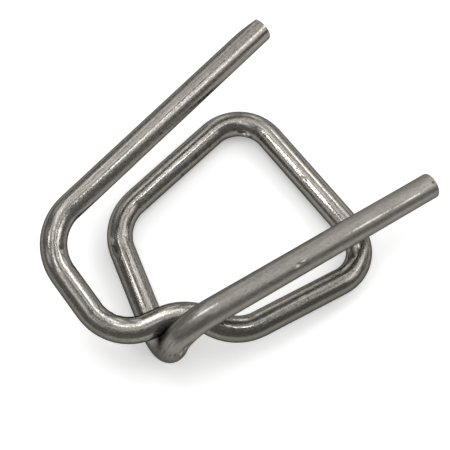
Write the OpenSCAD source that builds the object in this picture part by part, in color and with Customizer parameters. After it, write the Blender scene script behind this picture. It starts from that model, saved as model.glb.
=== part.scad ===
// Strapping buckle bent from one length of round steel wire.
// A closed frame lies flat. Its two legs cross at the open side, and each one
// turns up and back into a prong that stands over the frame.
// The part rests on Z = 0 as it lies on a bench, and X runs along the prongs.

/* [Wire] */
// Diameter of the wire
wire_d = 3.5; // [3:0.1:4]
// How much thinner the wire is drawn in its bends
bend_thin = 0.04; // [0.03:0.01:0.1]

/* [Sheared ends] */
// Bevel round each end
end_bevel = 0.2; // [0.1:0.05:0.5]
// How deep the blade presses in one side of each end
press_depth = 0.4; // [0.1:0.05:0.6]
// Length of wire over which that pressing runs out
press_run = 2.8; // [1.5:0.1:4]

/* [Closed frame] */
// Length of the frame from the low leg to the closed side, at the corner points
frame_len = 24.8; // [23:0.1:30]
// Width of the closed side, at its corner points
closed_w = 29.4; // [27:0.1:34]
// Width of the frame at its legs, at the corner points
leg_w = 23.4; // [22:0.1:28]
// Bend radius of the two corners of the closed side
far_r = 5.4; // [4:0.1:6.5]
// Bend radius where a bar turns into its leg
leg_r = 6.6; // [5:0.1:7.5]
// How far in from the low leg the corner of the high leg stands
high_corner_in = 3; // [2:0.1:5]
// How high the corner of the high leg stands over the low one
high_corner_lift = 3; // [2:0.1:4]

/* [Crossing] */
// Clear height under the crest of the high leg
cross_gap = 1; // [0.6:0.1:1.6]
// How far the high leg falls from its crest to its root
crest_fall = 0.8; // [0:0.1:1]
// How far the crest stands off the middle line
crest_side = 5.4; // [5:0.1:6.5]
// Bend radius of the crest
crest_r = 6.8; // [5:0.1:8]
// Clearance between the low root and the high leg that it hooks round
nest_gap = 0.7; // [0.3:0.05:1]

/* [Low leg and prong] */
// How far the low leg swings out from the frame
low_leg_out = 5.6; // [4.5:0.1:6]
// Clear height of the low prong over the crest of the high leg
hook_gap = 1.5; // [1.2:0.1:3]
// How far the low root leans towards the closed side
low_root_lean = 2.8; // [1.5:0.1:3.5]
// How far the low root leans away from the middle line
low_root_side = 0.2; // [0:0.1:1.2]
// Bend radius of the low root
low_root_r = 4.7; // [4:0.1:4.8]
// Length of the low prong from its root corner to its end
low_prong_len = 38.8; // [34:0.1:44]
// Angle at which the low prong spreads outwards
low_splay_angle = 4.9; // [2:0.1:7]
// Angle at which the low prong dips towards the closed side
low_dip_angle = 6.9; // [3:0.1:7.5]

/* [High leg and prong] */
// How far the high leg swings out from the frame
high_leg_out = 9.9; // [9:0.1:12]
// Where the high leg ends, off the middle line
high_leg_side = 3; // [2.5:0.1:4]
// Clear height of the high root over the wires that lie flat
jaw_gap = 5.2; // [4.5:0.1:7]
// How far the high root reaches over to the other side of the middle line
high_root_side = 12.5; // [10.5:0.1:14]
// Bend radius of the high root
high_root_r = 6.6; // [5:0.1:7]
// Length of the high prong from its root corner to its end
high_prong_len = 41.9; // [38:0.1:48]
// Angle at which the high prong spreads outwards
high_splay_angle = 9.1; // [6:0.1:12]
// Angle at which the high prong dips towards the closed side
high_dip_angle = 0.6; // [-2:0.1:3]

/* [Hidden] */
$fn = 64;
// One cut parts two buckles, so the ends are pressed on opposite sides of the wire
outer_side = 180;
inner_side = 0;
wire_r = wire_d / 2;
bend_d = wire_d - bend_thin;
// How far a straight run carries on round the start of the thinner bend
lap = 0.2;

// Heights of the wire's middle over that of the wires that lie flat
crest_z = wire_d + cross_gap;
high_leg_z = crest_z - crest_fall;
low_root_z = crest_z + wire_d + hook_gap;
high_root_z = wire_d + jaw_gap;

// The low leg ends one wire and a clearance past the high leg that it hooks round
high_leg_y = crest_side - (crest_side - high_leg_side) * low_leg_out / high_leg_out;
low_leg_past = high_leg_y + wire_d + nest_gap;

// A direction along the prongs, spread to one side and dipping
function prong_way(splay, dip) = [cos(dip) * cos(splay), cos(dip) * sin(splay), -sin(dip)];

high_root = [-high_leg_out, high_root_side, high_root_z];
high_end = high_root + high_prong_len * prong_way(high_splay_angle, high_dip_angle);
high_foot = [-high_leg_out, -high_leg_side, high_leg_z];
crest = [0, -crest_side, crest_z];
high_corner = [high_corner_in, -leg_w / 2, high_corner_lift];
low_corner = [0, leg_w / 2, 0];
low_foot = [-low_leg_out, -low_leg_past, 0];
low_root = low_foot + [low_root_lean, -low_root_side, low_root_z];
low_end = low_root + low_prong_len * prong_way(-low_splay_angle, low_dip_angle);

// The corner points of the wire's middle line, from the high prong's end to the low one's
corners = [
    high_end,
    high_root,
    high_foot,
    crest,
    high_corner,
    [frame_len, -closed_w / 2, 0],
    [frame_len, closed_w / 2, 0],
    low_corner,
    low_foot,
    low_root,
    low_end
];
// The bend radius wanted at each corner, none at the two ends
radii = [0, high_root_r, high_root_r, crest_r, leg_r, far_r, far_r, leg_r, low_root_r, low_root_r, 0];
last = len(corners) - 1;

function unit(v) = v / norm(v);
// Direction and length of the straight line from corner i to the next
function way(i) = unit(corners[i + 1] - corners[i]);
function span(i) = norm(corners[i + 1] - corners[i]);
// Angle that the wire turns through at corner i
function turn(i) = acos(way(i - 1) * way(i));
// Two bends share the line between them, so a radius is kept within its half
half_share = 0.49;
function room(i) = half_share * min(i == 1 ? 2 * span(0) : span(i - 1), i == last - 1 ? 2 * span(i) : span(i));
function bend_r(i) = min(radii[i], room(i) / tan(turn(i) / 2));
// Length of line that the bend at corner i takes on each side
function take(i) = i == 0 || i == last ? 0 : bend_r(i) * tan(turn(i) / 2);
// Length of straight wire that is left between two bends
function feed(i) = span(i) - take(i) - take(i + 1);
// Side towards which the wire bends at corner i, square to its run
function side(i) = unit(way(i) - way(i - 1) * (way(i) * way(i - 1)));
// The same side carried round the bend
function carried(i) = cos(turn(i)) * side(i) - sin(turn(i)) * way(i - 1);
// How far the wire is rolled about itself before the bend at corner i
function roll(i) = i == 1 ? 0 : atan2(cross(carried(i - 1), side(i)) * way(i - 1), carried(i - 1) * side(i));

// Points and directions along the middle line, for the outer box of the part
steps = 24;
function bend_start(i) = corners[i] - take(i) * way(i - 1);
function on_bend(i, a) = bend_start(i) + bend_r(i) * ((1 - cos(a)) * side(i) + sin(a) * way(i - 1));
function along_bend(i, a) = cos(a) * way(i - 1) + sin(a) * side(i);
samples = [
    [corners[0], way(0)],
    [corners[last], way(last - 1)],
    for (i = [1 : last - 1]) for (k = [0 : steps]) [on_bend(i, turn(i) * k / steps), along_bend(i, turn(i) * k / steps)]
];
function reach(s, k) = wire_r * sqrt(max(0, 1 - s[1][k] * s[1][k]));
box_low = [for (k = [0 : 2]) min([for (s = samples) s[0][k] - reach(s, k)])];
box_high = [for (k = [0 : 2]) max([for (s = samples) s[0][k] + reach(s, k)])];
box_mid = (box_low + box_high) / 2;

// One bend from the origin, leaving along Z and turning towards X
module bend(radius, angle) {
    translate([radius, 0, 0])
        rotate([90, 0, 0])
            rotate([0, 0, 180 - angle])
                rotate_extrude(angle = angle)
                    translate([radius, 0])
                        circle(d = bend_d);
}

// A straight run from the origin along Z, sheared at its start.
// The blade's side is pressed in by a plane that runs out along the wire.
module end_run(length, press_side) {
    difference() {
        union() {
            cylinder(d1 = wire_d - 2 * end_bevel, d2 = wire_d, h = end_bevel);
            translate([0, 0, end_bevel])
                cylinder(d = wire_d, h = length - end_bevel + lap);
        }
        rotate([0, 0, press_side])
            translate([wire_r - press_depth, 0, 0])
                rotate([0, atan(press_depth / press_run), 0])
                    translate([0, -wire_r, -press_run])
                        cube([wire_d, wire_d, 3 * press_run]);
    }
}

// The rest of the wire from corner i on, laid as a bender would: feed, roll, bend
module wire_from(i) {
    if (i == 0)
        end_run(feed(0), outer_side);
    else if (i == last - 1)
        translate([0, 0, feed(i)])
            rotate([180, 0, 0])
                end_run(feed(i), inner_side);
    else
        translate([0, 0, -lap])
            cylinder(d = wire_d, h = feed(i) + 2 * lap);
    if (i < last - 1)
        translate([0, 0, feed(i)])
            rotate([0, 0, roll(i + 1)]) {
                bend(bend_r(i + 1), turn(i + 1));
                translate([bend_r(i + 1) * (1 - cos(turn(i + 1))), 0, bend_r(i + 1) * sin(turn(i + 1))])
                    rotate([0, turn(i + 1), 0])
                        wire_from(i + 1);
            }
}

// Puts what starts at the origin along Z at the high prong's end, pointing into the wire
module at_high_end() {
    z_way = way(0);
    x_way = side(1);
    y_way = cross(z_way, x_way);
    start = corners[0] - [box_mid[0], box_mid[1], box_low[2]];
    multmatrix([
        [x_way[0], y_way[0], z_way[0], start[0]],
        [x_way[1], y_way[1], z_way[1], start[1]],
        [x_way[2], y_way[2], z_way[2], start[2]],
        [0, 0, 0, 1]
    ])
        children();
}

module buckle_wire() {
    color("dimgray")
        at_high_end()
            wire_from(0);
}

buckle_wire();
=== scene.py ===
# Strapping buckle bent from one length of drawn steel wire, lying on a white table
import math
import bpy
import numpy as np
from mathutils import Matrix, Vector


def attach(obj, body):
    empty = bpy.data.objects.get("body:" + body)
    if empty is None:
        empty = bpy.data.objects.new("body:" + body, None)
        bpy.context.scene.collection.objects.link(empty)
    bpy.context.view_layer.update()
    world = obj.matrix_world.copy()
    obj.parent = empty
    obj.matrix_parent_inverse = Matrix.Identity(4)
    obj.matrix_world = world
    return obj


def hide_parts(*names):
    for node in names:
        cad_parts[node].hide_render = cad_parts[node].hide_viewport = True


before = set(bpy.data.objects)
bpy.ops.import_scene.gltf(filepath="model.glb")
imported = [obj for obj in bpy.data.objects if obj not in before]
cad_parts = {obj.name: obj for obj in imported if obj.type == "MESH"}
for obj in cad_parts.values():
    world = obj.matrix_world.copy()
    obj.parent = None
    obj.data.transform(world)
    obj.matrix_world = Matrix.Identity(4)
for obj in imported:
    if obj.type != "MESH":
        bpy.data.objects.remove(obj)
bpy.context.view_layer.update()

# One millimetre, in metres
MM = 0.001

# Sizes of the bent wire in mm and degrees, as in the part's source
WIRE_D = 3.5
WIRE_R = WIRE_D / 2
BEND_THIN = 0.04
END_BEVEL = 0.2
PRESS_DEPTH = 0.4
PRESS_RUN = 2.8
FRAME_LEN = 24.8
CLOSED_W = 29.4
LEG_W = 23.4
FAR_R = 5.4
LEG_R = 6.6
HIGH_CORNER_IN = 3.0
HIGH_CORNER_LIFT = 3.0
CROSS_GAP = 1.0
CREST_FALL = 0.8
CREST_SIDE = 5.4
CREST_R = 6.8
NEST_GAP = 0.7
LOW_LEG_OUT = 5.6
HOOK_GAP = 1.5
LOW_ROOT_LEAN = 2.8
LOW_ROOT_SIDE = 0.2
LOW_ROOT_R = 4.7
LOW_PRONG_LEN = 38.8
LOW_SPLAY = 4.9
LOW_DIP = 6.9
HIGH_LEG_OUT = 9.9
HIGH_LEG_SIDE = 3.0
JAW_GAP = 5.2
HIGH_ROOT_SIDE = 12.5
HIGH_ROOT_R = 6.6
HIGH_PRONG_LEN = 41.9
HIGH_SPLAY = 9.1
HIGH_DIP = 0.6
# A bend takes at most this share of the line between two corners
HALF_SHARE = 0.49
# Spacing of the points along the middle line, and the fewest on a run and on a bend
LINE_STEP = 0.1
RUN_POINTS = 2
BEND_POINTS = 8


def prong_way(splay, dip):
    """Direction along a prong, spread to one side and dipping."""
    splay, dip = math.radians(splay), math.radians(dip)
    level = math.cos(dip)
    return Vector((level * math.cos(splay), level * math.sin(splay), -math.sin(dip)))


def wire_corners():
    """Corner points of the wire's middle line, and the bend radius at each.

    They run from the high prong's end to the low prong's end.
    """
    crest_z = WIRE_D + CROSS_GAP
    high_root = Vector((-HIGH_LEG_OUT, HIGH_ROOT_SIDE, WIRE_D + JAW_GAP))
    high_foot = Vector((-HIGH_LEG_OUT, -HIGH_LEG_SIDE, crest_z - CREST_FALL))
    crest = Vector((0, -CREST_SIDE, crest_z))
    high_corner = Vector((HIGH_CORNER_IN, -LEG_W / 2, HIGH_CORNER_LIFT))
    high_leg_y = CREST_SIDE - (CREST_SIDE - HIGH_LEG_SIDE) * LOW_LEG_OUT / HIGH_LEG_OUT
    low_foot = Vector((-LOW_LEG_OUT, -(high_leg_y + WIRE_D + NEST_GAP), 0))
    low_root = low_foot + Vector((LOW_ROOT_LEAN, -LOW_ROOT_SIDE, crest_z + WIRE_D + HOOK_GAP))
    points = [
        high_root + HIGH_PRONG_LEN * prong_way(HIGH_SPLAY, HIGH_DIP),
        high_root,
        high_foot,
        crest,
        high_corner,
        Vector((FRAME_LEN, -CLOSED_W / 2, 0)),
        Vector((FRAME_LEN, CLOSED_W / 2, 0)),
        Vector((0, LEG_W / 2, 0)),
        low_foot,
        low_root,
        low_root + LOW_PRONG_LEN * prong_way(-LOW_SPLAY, LOW_DIP),
    ]
    radii = [0, HIGH_ROOT_R, HIGH_ROOT_R, CREST_R, LEG_R, FAR_R, FAR_R, LEG_R,
             LOW_ROOT_R, LOW_ROOT_R, 0]
    return points, radii


def middle_line():
    """Points along the wire's middle line, where its bends start and end, and its length."""
    corners, radii = wire_corners()
    last = len(corners) - 1
    spans = [(corners[i + 1] - corners[i]).length for i in range(last)]
    ways = [(corners[i + 1] - corners[i]).normalized() for i in range(last)]
    # each bend's angle, its radius, and the length of line that it takes on each side
    turns, bends, takes = [0.0], [0.0], [0.0]
    for i in range(1, last):
        turn = ways[i - 1].angle(ways[i])
        # two bends share the line between them, but a prong has only one
        before = 2 * spans[i - 1] if i == 1 else spans[i - 1]
        after = 2 * spans[i] if i == last - 1 else spans[i]
        radius = min(radii[i], HALF_SHARE * min(before, after) / math.tan(turn / 2))
        turns.append(turn)
        bends.append(radius)
        takes.append(radius * math.tan(turn / 2))
    takes.append(0.0)
    points, directions, stretches, length = [], [], [], 0.0
    for i in range(last):
        start = corners[i] + ways[i] * takes[i]
        run = spans[i] - takes[i] - takes[i + 1]
        count = max(RUN_POINTS, round(run / LINE_STEP))
        for k in range(count):
            points.append(start + ways[i] * run * k / count)
            directions.append(ways[i])
        length += run
        if i + 1 == last:
            points.append(start + ways[i] * run)
            directions.append(ways[i])
            break
        side = (ways[i + 1] - ways[i] * ways[i].dot(ways[i + 1])).normalized()
        bend_start, radius, turn = start + ways[i] * run, bends[i + 1], turns[i + 1]
        count = max(BEND_POINTS, round(radius * turn / LINE_STEP))
        for k in range(count):
            a = turn * k / count
            off = (1 - math.cos(a)) * side + math.sin(a) * ways[i]
            points.append(bend_start + radius * off)
            directions.append(math.cos(a) * ways[i] + math.sin(a) * side)
        stretches.append((length, length + radius * turn))
        length += radius * turn
    points = np.array(points)
    directions = np.array(directions)
    # the wire is centred over its outer box, and lies on the table
    reach = WIRE_R * np.sqrt(np.maximum(0, 1 - directions ** 2))
    low, high = (points - reach).min(axis=0), (points + reach).max(axis=0)
    points -= np.array([(low[0] + high[0]) / 2, (low[1] + high[1]) / 2, low[2]])
    return points, stretches, length


LINE, STRETCHES, LENGTH = middle_line()


def deselect_all():
    for thing in bpy.context.selected_objects:
        thing.select_set(False)


def make_active(thing):
    deselect_all()
    thing.select_set(True)
    bpy.context.view_layer.objects.active = thing


def points_in_mm(mesh):
    """The place of each of a mesh's points, in mm."""
    place = np.empty(len(mesh.vertices) * 3)
    mesh.vertices.foreach_get("co", place)
    return place.reshape(-1, 3) / MM


def move_points(mesh, place):
    """Moves a mesh's points to places in mm."""
    mesh.vertices.foreach_set("co", (place * MM).ravel())
    mesh.update()


def keep_places(mesh, name, place):
    """Keeps a place in mm with each point of a mesh, for patterns that follow the wire."""
    layer = mesh.attributes.new(name, "FLOAT_VECTOR", "POINT")
    layer.data.foreach_set("vector", place.astype(np.float32).ravel())


def kept_places(mesh, name):
    """The places in mm that were kept with a mesh's points."""
    place = np.empty(len(mesh.vertices) * 3, dtype=np.float32)
    mesh.attributes[name].data.foreach_get("vector", place)
    return place.reshape(-1, 3).astype(float)


def select_edges(mesh, wanted):
    """Selects the edges for which wanted(a, b) holds at their two ends, given in mm."""
    bpy.ops.object.mode_set(mode="OBJECT")
    for part in (mesh.polygons, mesh.vertices):
        part.foreach_set("select", [False] * len(part))
    place = points_in_mm(mesh)
    ends = np.empty(len(mesh.edges) * 2, dtype=np.int32)
    mesh.edges.foreach_get("vertices", ends)
    ends = ends.reshape(-1, 2)
    mesh.edges.foreach_set("select", wanted(place[ends[:, 0]], place[ends[:, 1]]))
    bpy.ops.object.mode_set(mode="EDIT")


# Sides of the wire's outline, the cuts in each of two passes that give it its rings,
# and the steps that round the rims of its ends
WIRE_SIDES = 72
RING_CUTS = 27
RIM_STEPS = 3


def straight_wire():
    """The cut length of wire before bending, lying along X from the high prong's end."""
    deselect_all()
    bpy.ops.mesh.primitive_cylinder_add(
        vertices=WIRE_SIDES, radius=WIRE_R * MM, depth=LENGTH * MM, end_fill_type="NGON",
        location=(LENGTH / 2 * MM, 0, 0), rotation=(0, math.pi / 2, 0))
    wire = bpy.context.active_object
    wire.name = "buckle_wire_bent"
    bpy.ops.object.transform_apply(location=True, rotation=True, scale=True)
    mesh = wire.data
    bpy.ops.object.mode_set(mode="EDIT")
    bpy.ops.mesh.select_mode(type="EDGE")
    # the first pass cuts the whole length, and the second cuts each of those pieces
    for shortest in (LENGTH / 2, LENGTH / (4 * RING_CUTS)):
        select_edges(mesh, lambda a, b: np.abs(a[:, 0] - b[:, 0]) > shortest)
        bpy.ops.mesh.subdivide(number_cuts=RING_CUTS)
    # the rim of each sheared end is rounded over
    tiny = 0.001
    select_edges(mesh, lambda a, b: ((a[:, 0] < tiny) & (b[:, 0] < tiny))
                 | ((a[:, 0] > LENGTH - tiny) & (b[:, 0] > LENGTH - tiny)))
    bpy.ops.mesh.bevel(offset=END_BEVEL * MM, segments=RIM_STEPS, profile=0.5, affect="EDGES")
    bpy.ops.object.mode_set(mode="OBJECT")
    return wire


# Marks left by the bending tools and by handling, as places on the straight wire:
# length from the high prong's end, angle round the wire, half length, half width and depth,
# all in mm but the angle
DENTS = [
    # inner side of the high root and of its foot, where the wire was held
    (42.3, 40, 0.5, 0.35, 0.06),
    (54.7, -2, 0.45, 0.45, 0.08),
    # corner of the closed side by the high prong
    (117.0, -26, 0.55, 0.4, 0.09),
    (116.2, -12, 0.3, 0.25, 0.05),
    # closed side
    (106.3, 30, 0.5, 0.22, 0.05),
    (104.9, 22, 0.4, 0.2, 0.04),
    # corner by the low prong
    (92.6, 38, 0.6, 0.35, 0.07),
    (90.7, 18, 0.55, 0.5, 0.12),
    # corner of the low leg
    (144.6, 76, 0.7, 0.4, 0.14),
    (142.9, 22, 0.45, 0.25, 0.04),
    # low root and low prong
    (166.4, -142, 0.9, 0.35, 0.12),
    (163.9, -160, 0.7, 0.3, 0.06),
    (183.7, 161, 0.4, 0.28, 0.07),
    (176.1, 142, 0.35, 0.25, 0.05),
    (181.0, 121, 0.5, 0.2, 0.03),
    # bar under the high prong
    (126.7, -3, 0.35, 0.25, 0.05),
    (129.6, -29, 0.3, 0.2, 0.04),
    # bar beside the low prong
    (80.6, 60, 0.4, 0.2, 0.03),
]
# The raised rim round a dent: its share of the dent's depth, and its place and width,
# both in half sizes of the dent
DENT_RIM_SHARE = 0.22
DENT_RIM_PLACE = 1.7
DENT_RIM_WIDTH = 0.45
# Flats where the bender's jaws pressed: start and end of the length, angle and depth
FLATS = [
    (142.8, 156.5, 42, 0.05),
    (161.0, 169.5, 140, 0.05),
    (100.0, 112.0, 24, 0.03),
]
# Length over which a bend's thinning and a flat set in
BEND_EASE = 0.5
FLAT_EASE = 1.5
# A flat reaches round the wire to where its cosine falls to this
FLAT_REACH = 0.5


def wrapped(angle):
    return (angle + math.pi) % (2 * math.pi) - math.pi


def set_in(along, start, end, ease):
    """Rises from 0 to 1 just inside a stretch of the wire."""
    return np.clip(np.minimum(along - start, end - along) / ease, 0, 1)


def mark_wire(mesh):
    """Thins the wire in its bends, and presses in the flats and dents."""
    place = points_in_mm(mesh)
    along = place[:, 0]
    angle = np.arctan2(place[:, 2], place[:, 1])
    radius = np.hypot(place[:, 1], place[:, 2])
    push = np.zeros(len(along))
    for start, end in STRETCHES:
        inside = set_in(along, start, end, BEND_EASE)
        push += BEND_THIN / 2 * inside * inside * (3 - 2 * inside)
    for start, end, at, depth in FLATS:
        level = WIRE_R - depth * set_in(along, start, end, FLAT_EASE)
        across = np.cos(angle - math.radians(at))
        pressed = WIRE_R - level / np.maximum(across, FLAT_REACH)
        push = np.maximum(push, np.where(across > FLAT_REACH, pressed, 0))
    for at, turned, half_length, half_width, depth in DENTS:
        off_length = (along - at) / half_length
        off_width = wrapped(angle - math.radians(turned)) * WIRE_R / half_width
        far = np.hypot(off_length, off_width)
        rim = np.exp(-((far - DENT_RIM_PLACE) / DENT_RIM_WIDTH) ** 2)
        push += depth * np.exp(-far ** 2) - depth * DENT_RIM_SHARE * rim
    on_side = radius > WIRE_R / 2
    scale = np.where(on_side, (radius - push) / np.maximum(radius, 1e-6), 1)
    place[:, 1] *= scale
    place[:, 2] *= scale
    move_points(mesh, place)


def bend_wire(wire):
    """Bends the straight wire along the middle line."""
    curve = bpy.data.curves.new("middle_line", "CURVE")
    curve.dimensions = "3D"
    curve.twist_mode = "MINIMUM"
    spline = curve.splines.new("POLY")
    spline.points.add(len(LINE) - 1)
    flat = np.ones((len(LINE), 4))
    flat[:, :3] = LINE * MM
    spline.points.foreach_set("co", flat.ravel())
    guide = bpy.data.objects.new("middle_line", curve)
    bpy.context.scene.collection.objects.link(guide)
    make_active(wire)
    bend = wire.modifiers.new("bend", "CURVE")
    bend.object = guide
    bend.deform_axis = "POS_X"
    bpy.ops.object.modifier_apply(modifier="bend")
    bpy.data.objects.remove(guide)
    bpy.data.curves.remove(curve)


# How far past its run the pressed side of an end is worked, in runs, how far outside the
# plane that presses it, and the softness of the edge between them, in mm
PRESS_PAST = 1.2
PRESS_SKIN = 0.15
PRESS_SOFT = 0.05
# Past this many softnesses the edge is as good as sharp
SOFT_LIMIT = 30


def press_end(mesh, along_from_end, end, outward, side):
    """Presses in one side of a sheared end, by a plane that runs out along the wire."""
    place = points_in_mm(mesh)
    back = -(place - end) @ outward
    over = (place - end) @ side - (WIRE_R - PRESS_DEPTH * (1 - back / PRESS_RUN))
    near = (along_from_end < PRESS_RUN * PRESS_PAST) & (over > -PRESS_SKIN)
    steps = np.clip(over / PRESS_SOFT, -SOFT_LIMIT, SOFT_LIMIT)
    moved = np.where(near, PRESS_SOFT * np.log1p(np.exp(steps)), 0)
    place -= moved[:, None] * side
    move_points(mesh, place)


def press_both_ends(mesh):
    """Presses in both ends, and keeps each point's place on its sheared face.

    That place is in mm: towards the side that the blade pressed, and across.
    """
    along = kept_places(mesh, "wire_place")[:, 0]
    corners, _ = wire_corners()
    on_face = np.zeros((len(mesh.vertices), 3))
    # for each end: the distance from it, its point, the first three corners from there, and
    # the side that is pressed, 1 inside the root bend and -1 outside it
    for from_end, end, first, second, third, way in (
            (along, LINE[0], 0, 1, 2, -1), (LENGTH - along, LINE[-1], -1, -2, -3, 1)):
        outward = (corners[first] - corners[second]).normalized()
        leg = (corners[third] - corners[second]).normalized()
        inner = (leg - outward * leg.dot(outward)).normalized()
        outward, pressed = np.array(outward), np.array(inner) * way
        press_end(mesh, from_end, end, outward, pressed)
        off = points_in_mm(mesh) - end
        near = from_end < PRESS_RUN
        on_face[near, 0] = (off @ pressed)[near]
        on_face[near, 1] = (off @ np.cross(outward, pressed))[near]
    keep_places(mesh, "shear_place", on_face)


# Edges where the surface turns by less than this, in degrees, are shaded smooth
SMOOTH_ANGLE = 40

wire = straight_wire()
keep_places(wire.data, "wire_place", points_in_mm(wire.data))
mark_wire(wire.data)
bend_wire(wire)
press_both_ends(wire.data)
make_active(wire)
bpy.ops.object.shade_smooth_by_angle(angle=math.radians(SMOOTH_ANGLE))


def add_node(tree, kind, at, inputs=None, **settings):
    """Adds a node with its settings, and its inputs' values by name or number."""
    node = tree.nodes.new(kind)
    node.location = at
    for name, value in settings.items():
        setattr(node, name, value)
    for name, value in (inputs or {}).items():
        node.inputs[name].default_value = value
    return node


def join(tree, start, end):
    tree.links.new(start, end)


def feed(tree, socket, value):
    """Gives an input a fixed value, or what another node puts out."""
    if isinstance(value, bpy.types.NodeSocket):
        join(tree, value, socket)
    else:
        socket.default_value = value


def blend_colours(tree, share, first, second, at):
    """Mixes two colours by a share."""
    mix = add_node(tree, "ShaderNodeMix", at, data_type="RGBA")
    for number, value in ((0, share), (6, first), (7, second)):
        feed(tree, mix.inputs[number], value)
    return mix.outputs[2]


def in_range(tree, value, span, wanted, at):
    """Maps a value from its span to the wanted one, held at the ends."""
    node = add_node(tree, "ShaderNodeMapRange", at, inputs={
        "From Min": span[0], "From Max": span[1], "To Min": wanted[0], "To Max": wanted[1]})
    join(tree, value, node.inputs["Value"])
    return node.outputs["Result"]


def two_values(tree, operation, first, second, at):
    """Adds, subtracts, multiplies or compares two values."""
    node = add_node(tree, "ShaderNodeMath", at, operation=operation)
    feed(tree, node.inputs[0], first)
    feed(tree, node.inputs[1], second)
    return node.outputs[0]


def drawn_out(tree, place, share, at):
    """Squeezes a place along the wire, so that a pattern on it is drawn out lengthwise."""
    node = add_node(tree, "ShaderNodeVectorMath", at, operation="MULTIPLY")
    node.inputs[1].default_value = (share, 1, 1)
    join(tree, place, node.inputs[0])
    return node.outputs[0]


def mottle(tree, place, at, per_mm, detail, roughness):
    """Uneven values between 0 and 1, so many to the mm."""
    node = add_node(tree, "ShaderNodeTexNoise", at,
                    inputs={"Detail": detail, "Roughness": roughness})
    feed(tree, node.inputs["Scale"], per_mm)
    join(tree, place, node.inputs["Vector"])
    return node.outputs[0]


def raise_surface(tree, shader, height, depth, at):
    """Gives a shader a height of so many mm where the height's value is 1."""
    bump = add_node(tree, "ShaderNodeBump", at, inputs={"Strength": 1.0, "Distance": depth * MM})
    join(tree, height, bump.inputs["Height"])
    join(tree, bump.outputs["Normal"], shader.inputs["Normal"])


def new_metal(name):
    """A metal, with its node tree and its shader."""
    material = bpy.data.materials.new(name)
    material.use_nodes = True
    tree = material.node_tree
    shader = tree.nodes["Principled BSDF"]
    shader.inputs["Metallic"].default_value = 1.0
    return material, tree, shader


def group_sockets(group, wanted):
    """Makes a node group's sockets from (name, in or out, kind, value) rows, and its ends."""
    for name, way, kind, value in wanted:
        socket = group.interface.new_socket(name=name, in_out=way, socket_type="NodeSocket" + kind)
        if value is not None:
            socket.default_value = value
    start = add_node(group, "NodeGroupInput", (-900, 0))
    end = add_node(group, "NodeGroupOutput", (900, 0))
    return start.outputs, end.inputs


# The share to which each pattern's place is squeezed along the wire
LINE_SQUEEZE = 0.045
GRAIN_SQUEEZE = 0.35
PATCH_SQUEEZE = 0.3


def draw_grain_group():
    """Lines that the drawing die leaves along the wire, finer grain, and broad patches."""
    group = bpy.data.node_groups.new("draw_grain", "ShaderNodeTree")
    start, end = group_sockets(group, (
        ("Wire Place", "INPUT", "Vector", None),
        ("Lines per mm", "INPUT", "Float", 3.2),
        ("Grain per mm", "INPUT", "Float", 6.0),
        ("Patches per mm", "INPUT", "Float", 0.9),
        ("Lines", "OUTPUT", "Float", None),
        ("Grain", "OUTPUT", "Float", None),
        ("Patches", "OUTPUT", "Float", None)))
    for name, squeeze, detail, roughness, y in (
            ("Lines", LINE_SQUEEZE, 4.0, 0.7, 200), ("Grain", GRAIN_SQUEEZE, 3.0, 0.6, -50),
            ("Patches", PATCH_SQUEEZE, 4.0, 0.6, -300)):
        along = drawn_out(group, start["Wire Place"], squeeze, (-700, y))
        per_mm = start[name + " per mm"]
        pattern = mottle(group, along, (-450, y), per_mm, detail, roughness)
        join(group, pattern, end[name])
    return group


# A mark fades in from its edge to this share of its half size
MARK_FULL = 0.55


def rub_mark_group():
    """A ragged patch round a place on the wire, 1 in its middle and 0 outside."""
    group = bpy.data.node_groups.new("rub_mark", "ShaderNodeTree")
    start, end = group_sockets(group, (
        ("Wire Place", "INPUT", "Vector", None),
        ("Unevenness", "INPUT", "Float", 0.0),
        ("Centre", "INPUT", "Vector", None),
        ("Per Half Size", "INPUT", "Vector", (1.0, 1.0, 1.0)),
        ("Ragged", "INPUT", "Float", 0.5),
        ("Mask", "OUTPUT", "Float", None)))
    off = add_node(group, "ShaderNodeVectorMath", (-700, 100), operation="SUBTRACT")
    sized = add_node(group, "ShaderNodeVectorMath", (-500, 100), operation="MULTIPLY")
    far = add_node(group, "ShaderNodeVectorMath", (-300, 100), operation="LENGTH")
    torn = add_node(group, "ShaderNodeMath", (-100, -150), operation="MULTIPLY_ADD")
    mask = add_node(group, "ShaderNodeMapRange", (350, 50), interpolation_type="SMOOTHSTEP",
                    inputs={"From Min": 1.0, "From Max": MARK_FULL, "To Min": 0.0, "To Max": 1.0})
    for out, socket in (
            (start["Wire Place"], off.inputs[0]),
            (start["Centre"], off.inputs[1]),
            (off.outputs[0], sized.inputs[0]),
            (start["Per Half Size"], sized.inputs[1]),
            (sized.outputs[0], far.inputs[0]),
            (start["Unevenness"], torn.inputs[0]),
            (start["Ragged"], torn.inputs[1]),
            (far.outputs["Value"], torn.inputs[2]),
            (torn.outputs[0], mask.inputs["Value"]),
            (mask.outputs["Result"], end["Mask"])):
        join(group, out, socket)
    return group


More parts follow.
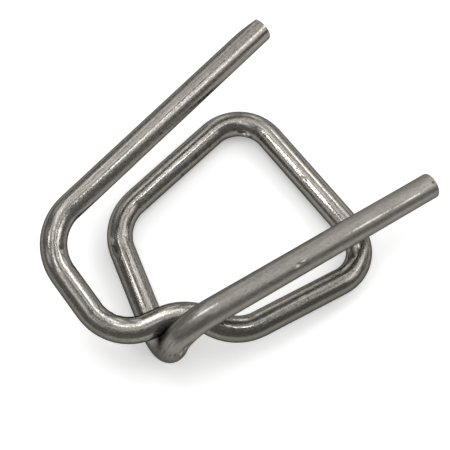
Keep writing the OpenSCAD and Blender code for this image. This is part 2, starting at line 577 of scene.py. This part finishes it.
# Bright rubbed nicks, and painted highlights along the prongs, the bends and the bars:
# length from the high prong's end, angle round the wire, half length, half width and raggedness
RUBS_AND_PAINTED_HIGHLIGHTS = [
    (72.3, 71, 1.0, 0.14, 2.0),
    (70.8, 72, 0.5, 0.1, 1.6),
    (117.1, -30, 0.45, 0.28, 1.6),
    (116.2, -22, 0.35, 0.25, 1.6),
    (106.3, 28, 0.8, 0.18, 2.8),
    (109.0, 26, 2.2, 0.12, 2.0),
    (102.6, 22, 2.4, 0.12, 2.0),
    (92.8, 42, 0.9, 0.4, 2.6),
    (93.4, 30, 0.5, 0.3, 2.0),
    (143.4, 82, 0.55, 0.35, 2.0),
    (142.9, 60, 0.6, 0.2, 1.8),
    (148.0, 34, 3.4, 0.13, 2.4),
    (151.5, 62, 3.0, 0.12, 2.4),
    (183.7, 161, 0.42, 0.2, 1.2),
    (184.6, 156, 0.6, 0.1, 1.2),
    (201.4, 155, 2.2, 0.12, 2.6),
    (195.0, 152, 4.0, 0.13, 3.0),
    (164.9, -150, 0.8, 0.14, 1.6),
    (166.0, -141, 0.5, 0.12, 1.6),
    (170.8, 132, 1.6, 0.14, 2.4),
    (56.0, 62, 2.6, 0.2, 2.6),
    (61.5, 56, 4.0, 0.2, 2.4),
    (129.5, 32, 11.5, 0.13, 2.4),
    (14.0, 66, 27.0, 0.09, 2.6),
]
# Painted highlight streaks along the wire, which are also made smoother, in the same form
PAINTED_HIGHLIGHT_STREAKS = [
    (14.0, 67, 27.0, 0.24, 2.0),
    (44.0, 55, 9.0, 0.26, 1.8),
    (58.0, 56, 9.0, 0.26, 2.0),
    (60.5, 57, 6.0, 0.42, 1.8),
    (41.5, 84, 4.5, 0.18, 2.6),
    (49.5, 92, 6.5, 0.2, 2.6),
    (106.0, 27, 9.5, 0.26, 2.4),
    (106.0, 59, 9.0, 0.16, 2.4),
    (129.0, 33, 12.0, 0.27, 1.6),
    (149.5, 56, 6.5, 0.14, 3.0),
    (149.5, 31, 6.5, 0.14, 3.0),
    (80.0, 62, 10.0, 0.1, 2.0),
    (79.5, 45, 12.0, 0.45, 2.0),
    (130.0, 50, 11.0, 0.22, 2.2),
]
# Painted shade along some sides of the wire, in the same form
PAINTED_SHADE_SIDES = [
    (50.0, 148, 12.0, 1.3, 1.6),
    (79.0, 122, 17.0, 2.2, 1.6),
    (105.5, -49, 11.0, 1.2, 1.6),
    (130.0, -47, 14.0, 1.2, 1.6),
    (150.5, 126, 9.0, 1.25, 1.6),
]
# Dark pits and scale, in the same form
DARK_PITS = [
    (144.6, 78, 0.7, 0.35, 1.8),
    (150.4, 47, 4.2, 0.13, 2.6),
    (146.2, 40, 1.4, 0.12, 2.2),
    (90.7, 20, 0.6, 0.5, 1.8),
    (117.6, -16, 1.1, 0.4, 2.0),
    (115.6, -34, 0.6, 0.2, 2.0),
    (126.7, -3, 0.5, 0.3, 1.4),
    (124.1, -10, 0.35, 0.2, 1.4),
    (129.6, -29, 0.35, 0.25, 1.4),
    (42.3, 42, 0.35, 0.3, 1.2),
    (54.7, -1, 0.4, 0.3, 1.2),
    (166.4, -153, 0.75, 0.15, 1.6),
    (163.8, 139, 1.5, 0.05, 1.6),
    (164.1, 170, 0.7, 0.07, 1.4),
    (164.6, -174, 0.5, 0.09, 1.6),
    (165.7, 146, 0.8, 0.05, 1.6),
    (166.4, 161, 0.6, 0.05, 1.5),
    (205.55, 143, 0.22, 0.24, 0.8),
    (21.0, 30, 0.4, 0.12, 1.4),
    (69.0, 70, 0.3, 0.2, 1.4),
]


def marks_mask(tree, group, place, uneven, rows, at):
    """The largest of the masks of all the marks in a table."""
    best = None
    for number, (along, turned, half_length, half_width, ragged) in enumerate(rows):
        angle = math.radians(turned)
        y = at[1] - 60 * number
        mark = add_node(tree, "ShaderNodeGroup", (at[0], y), node_tree=group, hide=True)
        mark.inputs["Centre"].default_value = (
            along, WIRE_R * math.cos(angle), WIRE_R * math.sin(angle))
        mark.inputs["Per Half Size"].default_value = (
            1 / half_length, 1 / half_width, 1 / half_width)
        mark.inputs["Ragged"].default_value = ragged
        join(tree, place, mark.inputs["Wire Place"])
        join(tree, uneven, mark.inputs["Unevenness"])
        mask = mark.outputs["Mask"]
        best = mask if best is None else two_values(tree, "MAXIMUM", best, mask, (at[0] + 200, y))
    return best


# Colours of the steel along the draw lines, in oiled or scaled patches, and in the fine
# mottling, each from dark to light
LINE_COLOURS = ((0.18, 0.17, 0.153, 1), (0.27, 0.256, 0.232, 1))
SCALE_COLOURS = ((0.165, 0.152, 0.128, 1), (0.25, 0.238, 0.218, 1))
SPECK_COLOURS = ((0.15, 0.142, 0.128, 1), (0.285, 0.272, 0.25, 1))
# Colours of the painted shade, the painted highlight streaks, the rubs and painted highlights, and
# the pits
PAINTED_SHADE_COLOUR = (0.11, 0.103, 0.09, 1)
HIGHLIGHT_STREAK_COLOUR = (0.42, 0.4, 0.37, 1)
RUB_AND_HIGHLIGHT_COLOUR = (0.5, 0.48, 0.445, 1)
PIT_COLOUR = (0.08, 0.073, 0.062, 1)
# How much of each goes over what lies under it
SCALE_SHARE = 0.45
SPECK_SHARE = 0.45
PAINTED_SHADE_SHARE = 0.6
HIGHLIGHT_STREAK_SHARE = 0.75
# Spans of the uneven patterns over which colours and roughness change
LINE_SPAN = (0.36, 0.66)
SCALE_SPAN = (0.38, 0.64)
SPECK_SPAN = (0.38, 0.62)
MIDDLE_SPAN = (0.35, 0.65)
FULL = (0.0, 1.0)
# Roughness with the grain, what the patches add, what a pit adds, and the share that is
# left on a painted highlight streak
GRAIN_ROUGH = (0.17, 0.3)
PATCH_ROUGH = (0.05, -0.04)
PIT_ROUGH = 0.25
HIGHLIGHT_STREAK_ROUGH = 0.75
# The low root and its prong are duller: where along the wire that begins, and how much
# rougher it is
MATTE_START = (157.0, 164.0)
MATTE_MORE = 0.13
# Depth of the draw lines in mm, and the shares of it for the grain, the rubs and painted
# highlights, and the pits
LINE_DEPTH = 0.01
GRAIN_SHARE = 0.35
RUB_AND_HIGHLIGHT_SHARE = 0.15
PIT_SHARE = 0.3
# Tint of the steel's reflection at a glancing angle
EDGE_TINT = (0.25, 0.25, 0.25, 1)


def drawn_steel():
    """Grey drawn steel with scale patches and fine lines along the wire, painted shade on some
    sides, and painted highlights.
    """
    material, tree, shader = new_metal("drawn_steel_wire")
    shader.inputs["Specular Tint"].default_value = EDGE_TINT
    place = add_node(tree, "ShaderNodeAttribute", (-1700, 0), attribute_name="wire_place")
    place = place.outputs["Vector"]
    grain = add_node(tree, "ShaderNodeGroup", (-1450, 200), node_tree=draw_grain_group())
    join(tree, place, grain.inputs["Wire Place"])
    lines, fine, patches = (grain.outputs[name] for name in ("Lines", "Grain", "Patches"))
    uneven = mottle(tree, place, (-1700, -300), per_mm=3.2, detail=3.0, roughness=0.7)
    uneven = two_values(tree, "SUBTRACT", uneven, 0.5, (-1600, -300))
    mark_group = rub_mark_group()
    rubs_and_highlights, highlight_streaks, painted_shade_sides, pits = (
        marks_mask(tree, mark_group, place, uneven, rows, (-1450, y)) for rows, y in (
            (RUBS_AND_PAINTED_HIGHLIGHTS, -200), (PAINTED_HIGHLIGHT_STREAKS, -1700), (PAINTED_SHADE_SIDES, -2600), (DARK_PITS, -3000)))

    streaks = in_range(tree, lines, LINE_SPAN, FULL, (-1100, 500))
    scale = in_range(tree, patches, SCALE_SPAN, FULL, (-1100, 300))
    specks = in_range(tree, fine, SPECK_SPAN, FULL, (-1100, 700))
    colour = blend_colours(tree, streaks, *LINE_COLOURS, (-850, 500))
    scaled = blend_colours(tree, scale, *SCALE_COLOURS, (-850, 300))
    speckled = blend_colours(tree, specks, *SPECK_COLOURS, (-850, 700))
    colour = blend_colours(tree, SCALE_SHARE, colour, scaled, (-700, 450))
    colour = blend_colours(tree, SPECK_SHARE, colour, speckled, (-600, 600))
    # painted shade darkens some sides of the wire
    painted_shade = two_values(tree, "MULTIPLY", painted_shade_sides, PAINTED_SHADE_SHARE, (-650, 1000))
    colour = blend_colours(tree, painted_shade, colour, PAINTED_SHADE_COLOUR, (-500, 700))
    # painted highlight streaks lighten the steel along the wire
    streak_highlight = two_values(tree, "MULTIPLY", highlight_streaks, HIGHLIGHT_STREAK_SHARE, (-650, 850))
    colour = blend_colours(tree, streak_highlight, colour, HIGHLIGHT_STREAK_COLOUR, (-400, 550))
    # bright rubbed nicks, and painted highlights, laid over the steel's colour
    colour = blend_colours(tree, rubs_and_highlights, colour, RUB_AND_HIGHLIGHT_COLOUR, (-300, 450))
    colour = blend_colours(tree, pits, colour, PIT_COLOUR, (-200, 400))
    join(tree, colour, shader.inputs["Base Color"])

    gloss = in_range(tree, fine, MIDDLE_SPAN, GRAIN_ROUGH, (-850, 0))
    smear = in_range(tree, patches, MIDDLE_SPAN, PATCH_ROUGH, (-850, -150))
    rough = two_values(tree, "ADD", gloss, smear, (-650, 0))
    worn = in_range(tree, pits, FULL, (0.0, PIT_ROUGH), (-650, -200))
    rough = two_values(tree, "ADD", rough, worn, (-450, 0))
    along = add_node(tree, "ShaderNodeSeparateXYZ", (-1450, 400))
    join(tree, place, along.inputs[0])
    matte = in_range(tree, along.outputs["X"], MATTE_START, (0.0, MATTE_MORE), (-1100, -100))
    rough = two_values(tree, "ADD", rough, matte, (-400, 0))
    shine = in_range(tree, highlight_streaks, FULL, (1.0, HIGHLIGHT_STREAK_ROUGH), (-650, -300))
    rough = two_values(tree, "MULTIPLY", rough, shine, (-300, 0))
    join(tree, rough, shader.inputs["Roughness"])

    height = lines
    for operation, pattern, share, y in (
            ("ADD", fine, GRAIN_SHARE, -450), ("ADD", rubs_and_highlights, RUB_AND_HIGHLIGHT_SHARE, -600),
            ("SUBTRACT", pits, PIT_SHARE, -750)):
        part = two_values(tree, "MULTIPLY", pattern, share, (-650, y))
        height = two_values(tree, operation, height, part, (-450, y))
    raise_surface(tree, shader, height, LINE_DEPTH, (-200, -400))
    return material


# Where the cut part of a sheared face begins, in mm from its middle, and how ragged
# that edge is
CUT_EDGE = (1.0, 1.12)
CUT_RAGGED = 1.6
# Colours of the torn part and of the cut part, from dark to light
TORN_COLOURS = ((0.15, 0.143, 0.132, 1), (0.3, 0.291, 0.275, 1))
CUT_COLOURS = ((0.27, 0.26, 0.243, 1), (0.38, 0.37, 0.35, 1))
# Roughness of the torn part, over this span of its unevenness, and the share of it that
# is left where the blade cut
TORN_SPAN = (0.3, 0.7)
TORN_ROUGH = (0.4, 0.62)
CUT_ROUGH = 0.55
# Depth of the tears in mm, and the share of it for the scores of the blade
TEAR_DEPTH = 0.07
SCORE_SHARE = 0.25
# The share to which the scores' place is squeezed along the cut
SCORE_SQUEEZE = 0.12


def sheared_steel():
    """The face of a sheared end: a smooth part that the blade cut, and a rough torn part."""
    material, tree, shader = new_metal("sheared_steel")
    place = add_node(tree, "ShaderNodeAttribute", (-1600, 0), attribute_name="shear_place")
    place = place.outputs["Vector"]
    tear = mottle(tree, place, (-1150, 0), per_mm=3.0, detail=6.0, roughness=0.65)
    drag = drawn_out(tree, place, SCORE_SQUEEZE, (-1400, 300))
    scores = mottle(tree, drag, (-1150, 300), per_mm=5.0, detail=3.0, roughness=0.6)

    towards = add_node(tree, "ShaderNodeSeparateXYZ", (-1400, -300))
    join(tree, place, towards.inputs[0])
    ragged = two_values(tree, "MULTIPLY", tear, CUT_RAGGED, (-900, -200))
    edge = two_values(tree, "ADD", towards.outputs["X"], ragged, (-700, -250))
    cut = in_range(tree, edge, CUT_EDGE, FULL, (-500, -250))

    torn = in_range(tree, tear, MIDDLE_SPAN, FULL, (-900, 100))
    torn_colour = blend_colours(tree, torn, *TORN_COLOURS, (-650, 100))
    scored = in_range(tree, scores, MIDDLE_SPAN, FULL, (-900, 350))
    cut_colour = blend_colours(tree, scored, *CUT_COLOURS, (-650, 350))
    colour = blend_colours(tree, cut, torn_colour, cut_colour, (-350, 200))
    join(tree, colour, shader.inputs["Base Color"])

    rough = in_range(tree, tear, TORN_SPAN, TORN_ROUGH, (-650, -50))
    calmer = in_range(tree, cut, FULL, (1.0, CUT_ROUGH), (-300, -150))
    rough = two_values(tree, "MULTIPLY", rough, calmer, (-150, -50))
    join(tree, rough, shader.inputs["Roughness"])

    still_torn = two_values(tree, "SUBTRACT", 1.0, cut, (-300, -400))
    height = two_values(tree, "MULTIPLY", tear, still_torn, (-150, -400))
    fine = two_values(tree, "MULTIPLY", scores, SCORE_SHARE, (-650, -450))
    height = two_values(tree, "ADD", height, fine, (0, -450))
    height = two_values(tree, "ADD", height, cut, (150, -450))
    raise_surface(tree, shader, height, TEAR_DEPTH, (300, -400))
    return material


def dress_wire(wire):
    """Drawn steel all along the wire, and sheared steel on the faces of its two ends."""
    mesh = wire.data
    mesh.materials.clear()
    mesh.materials.append(drawn_steel())
    mesh.materials.append(sheared_steel())
    many = WIRE_SIDES // 2
    on_end = [int(len(face.vertices) > many) for face in mesh.polygons]
    mesh.polygons.foreach_set("material_index", on_end)


dress_wire(wire)
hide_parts("buckle_wire")
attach(wire, "root")

# The table top: its width in metres, its colour and roughness, and the light that the
# camera sees added to it
TABLE_WIDTH = 3.0
TABLE_COLOUR = (0.9, 0.9, 0.9, 1)
TABLE_ROUGH = 0.9
TABLE_LIFT = 0.28


def white_table():
    """A large plain white table top, which the camera sees a little lighter."""
    deselect_all()
    bpy.ops.mesh.primitive_plane_add(size=TABLE_WIDTH, location=(0, 0, 0))
    floor = bpy.context.active_object
    floor.name = "white_table"
    material = bpy.data.materials.new("white_table")
    material.use_nodes = True
    tree = material.node_tree
    paper = tree.nodes["Principled BSDF"]
    paper.inputs["Base Color"].default_value = TABLE_COLOUR
    paper.inputs["Roughness"].default_value = TABLE_ROUGH
    paper.inputs["Specular IOR Level"].default_value = 0.0
    glow = add_node(tree, "ShaderNodeEmission", (0, -200))
    seen = add_node(tree, "ShaderNodeLightPath", (-600, 300))
    shown = seen.outputs["Is Camera Ray"]
    for number, ray in enumerate(("Is Glossy Ray", "Is Transmission Ray")):
        at = (-300, 300 - 150 * number)
        shown = two_values(tree, "MAXIMUM", shown, seen.outputs[ray], at)
    lift = two_values(tree, "MULTIPLY", shown, TABLE_LIFT, (-100, 300))
    join(tree, lift, glow.inputs["Strength"])
    total = add_node(tree, "ShaderNodeAddShader", (300, 0))
    join(tree, paper.outputs[0], total.inputs[0])
    join(tree, glow.outputs[0], total.inputs[1])
    join(tree, total.outputs[0], tree.nodes["Material Output"].inputs["Surface"])
    floor.data.materials.append(material)


white_table()

# Camera: its place in mm and its axes, in the part's frame, and its lens and sensor in mm
CAMERA_PLACE = (-33.16, -44.63, 140.15)
CAMERA_FORWARD = (0.2212, 0.2961, -0.9292)
CAMERA_RIGHT = (0.7896, -0.6136, -0.0076)
LENS = 88.48
SENSOR = 36.0
# What is nearer or farther than this, in metres, isn't seen
CLIP = (0.01, 20)


def set_camera():
    """The photograph's view, from nearly straight above."""
    camera = bpy.data.cameras.new("camera")
    camera.lens = LENS
    camera.sensor_width = SENSOR
    camera.sensor_fit = "HORIZONTAL"
    camera.clip_start, camera.clip_end = CLIP
    holder = bpy.data.objects.new("camera", camera)
    forward = Vector(CAMERA_FORWARD).normalized()
    right = Vector(CAMERA_RIGHT)
    right = (right - forward * right.dot(forward)).normalized()
    up = right.cross(forward)
    turn = Matrix((right, up, -forward)).transposed().to_4x4()
    holder.matrix_world = Matrix.Translation(Vector(CAMERA_PLACE) * MM) @ turn
    bpy.context.scene.collection.objects.link(holder)
    bpy.context.scene.camera = holder


set_camera()

# Soft lamps round the table: height and bearing of each in degrees, and its brightness
BROAD_LAMPS = [
    (6, 10, 1.8),
    (18, 350, 2.4), (18, 40, 3.3), (18, 65, 2.6), (18, 95, 0.4),
    (32, 5, 0.8), (32, 25, 2.0), (32, 45, 1.5), (32, 70, 1.5), (32, 100, 1.0), (32, 130, 0.7),
    (32, 160, 1.6), (32, 315, 1.8), (32, 345, 0.7),
    (46, 0, 2.8), (46, 25, 3.4), (46, 50, 0.6), (46, 80, 2.8), (46, 165, 0.8), (46, 200, 0.5),
    (46, 315, 3.4), (46, 338, 4.4),
    (60, 15, 0.9), (60, 55, 1.7), (60, 95, 3.0), (60, 135, 0.5), (60, 205, 1.1), (60, 340, 0.6),
    (74, 25, 2.8), (74, 95, 2.4), (74, 215, 2.7),
    (88, 0, 2.0),
]
# Smaller, brighter ones, which draw the fine lines of light on the wire
SMALL_LAMPS = [(35, 353, 4.5), (60, 144, 10.0), (68, 320, 5.3), (39, 11, 3.0), (69, 79, 2.7)]
# Half the angle that a lamp fills, seen from the buckle, in degrees
BROAD_HALF_ANGLE = 7.5
SMALL_HALF_ANGLE = 4.5
# Distance of the lamps in metres
LAMP_DISTANCE = 1.0
# Brightness of the room round the lamps
ROOM_LIGHT = 0.32


def soft_lamp(height, bearing, brightness, half_angle):
    """A round diffuser that points at the buckle."""
    height, bearing = math.radians(height), math.radians(bearing)
    level = math.cos(height)
    way = Vector((level * math.cos(bearing), level * math.sin(bearing), math.sin(height)))
    lamp = bpy.data.lights.new("soft_lamp", "AREA")
    lamp.shape = "DISK"
    lamp.size = 2 * LAMP_DISTANCE * math.tan(math.radians(half_angle))
    # a disk gives out its brightness times its area times pi
    lamp.energy = brightness * math.pi * math.pi * (lamp.size / 2) ** 2
    holder = bpy.data.objects.new("soft_lamp", lamp)
    holder.location = way * LAMP_DISTANCE
    holder.rotation_euler = (-way).to_track_quat("-Z", "Y").to_euler()
    bpy.context.scene.collection.objects.link(holder)


def soft_room():
    """An even pale surrounding, which fills in between the lamps."""
    world = bpy.data.worlds.new("soft_room")
    bpy.context.scene.world = world
    world.use_nodes = True
    background = world.node_tree.nodes["Background"]
    background.inputs["Color"].default_value = (1, 1, 1, 1)
    background.inputs["Strength"].default_value = ROOM_LIGHT


for rows, half_angle in ((BROAD_LAMPS, BROAD_HALF_ANGLE), (SMALL_LAMPS, SMALL_HALF_ANGLE)):
    for row in rows:
        soft_lamp(*row, half_angle)
soft_room()

bpy.context.scene.view_settings.view_transform = "Standard"
